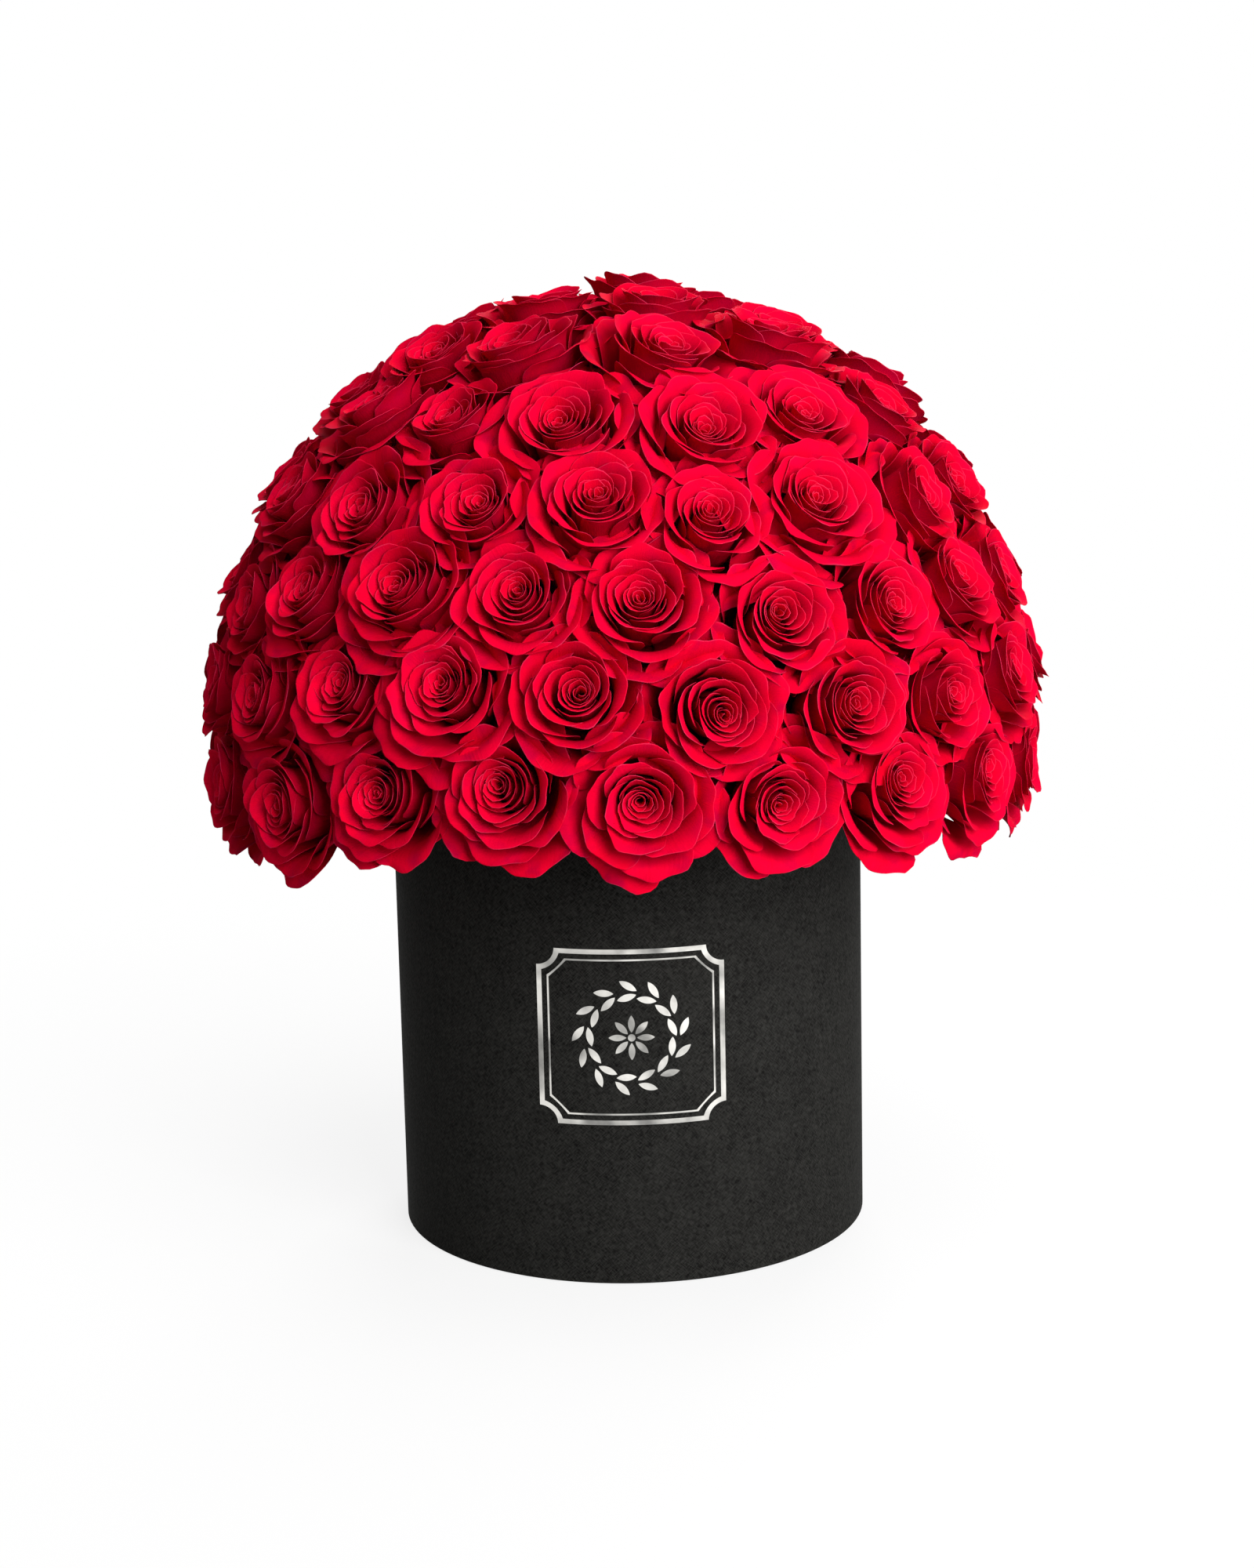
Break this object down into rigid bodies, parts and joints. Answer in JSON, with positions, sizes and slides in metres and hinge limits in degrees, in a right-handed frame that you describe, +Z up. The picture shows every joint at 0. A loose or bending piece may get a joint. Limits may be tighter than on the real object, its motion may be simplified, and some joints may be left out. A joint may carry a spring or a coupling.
{
  "type": "flower box",
  "caption": "Round paper-covered box with a lift-out pot of foam that carries a dome of cut red roses.",
  "frame": {"origin": "centre of the box's underside, on the surface it stands on", "axes": "+Z up; -Y is the front, with the foil print; +X is to the right seen from the front"},
  "size_m": [0.3952, 0.3947, 0.4395],
  "materials": {
    "grey_board": "matte",
    "cover_paper": "matte",
    "base_paper": "matte",
    "lining_paper": "matte",
    "silver_foil": "polished",
    "pot_plastic": "satin",
    "wet_foam": "matte",
    "skewer_wood": "matte",
    "rose_stem": "satin",
    "rose_calyx": "satin",
    "outer_petal": "matte",
    "inner_petal": "matte",
    "rose_bud": "matte"
  },
  "bodies": {
    "box": {"wall_tube": "grey_board", "base_board": "grey_board", "outer_wrap": "cover_paper", "base_paper": "base_paper", "wall_lining": "lining_paper", "floor_lining": "lining_paper", "foil_border": "silver_foil", "foil_wreath": "silver_foil", "foil_rosette": "silver_foil"},
    "bouquet": {"liner_pot": "pot_plastic", "foam_block": "wet_foam", "foam_dome": "wet_foam", "foam_skewers": "skewer_wood", "rose_row_1_stems": "rose_stem", "rose_row_1_calyxes": "rose_calyx", "rose_row_1_outer_petals": "outer_petal", "rose_row_1_inner_petals": "inner_petal", "rose_row_1_buds": "rose_bud", "rose_row_2_stems": "rose_stem", "rose_row_2_calyxes": "rose_calyx", "rose_row_2_outer_petals": "outer_petal", "rose_row_2_inner_petals": "inner_petal", "rose_row_2_buds": "rose_bud", "rose_row_3_stems": "rose_stem", "rose_row_3_calyxes": "rose_calyx", "rose_row_3_outer_petals": "outer_petal", "rose_row_3_inner_petals": "inner_petal", "rose_row_3_buds": "rose_bud", "rose_row_4_stems": "rose_stem", "rose_row_4_calyxes": "rose_calyx", "rose_row_4_outer_petals": "outer_petal", "rose_row_4_inner_petals": "inner_petal", "rose_row_4_buds": "rose_bud", "rose_row_5_stems": "rose_stem", "rose_row_5_calyxes": "rose_calyx", "rose_row_5_outer_petals": "outer_petal", "rose_row_5_inner_petals": "inner_petal", "rose_row_5_buds": "rose_bud", "rose_row_6_stems": "rose_stem", "rose_row_6_calyxes": "rose_calyx", "rose_row_6_outer_petals": "outer_petal", "rose_row_6_inner_petals": "inner_petal", "rose_row_6_buds": "rose_bud", "rose_row_7_stems": "rose_stem", "rose_row_7_calyxes": "rose_calyx", "rose_row_7_outer_petals": "outer_petal", "rose_row_7_inner_petals": "inner_petal", "rose_row_7_buds": "rose_bud"}
  },
  "joints": [
    {"name": "lift_out", "type": "slide", "parent": "box", "child": "bouquet", "axis": [0, 0, 1], "range_m": [0, 0.225]}
  ]
}
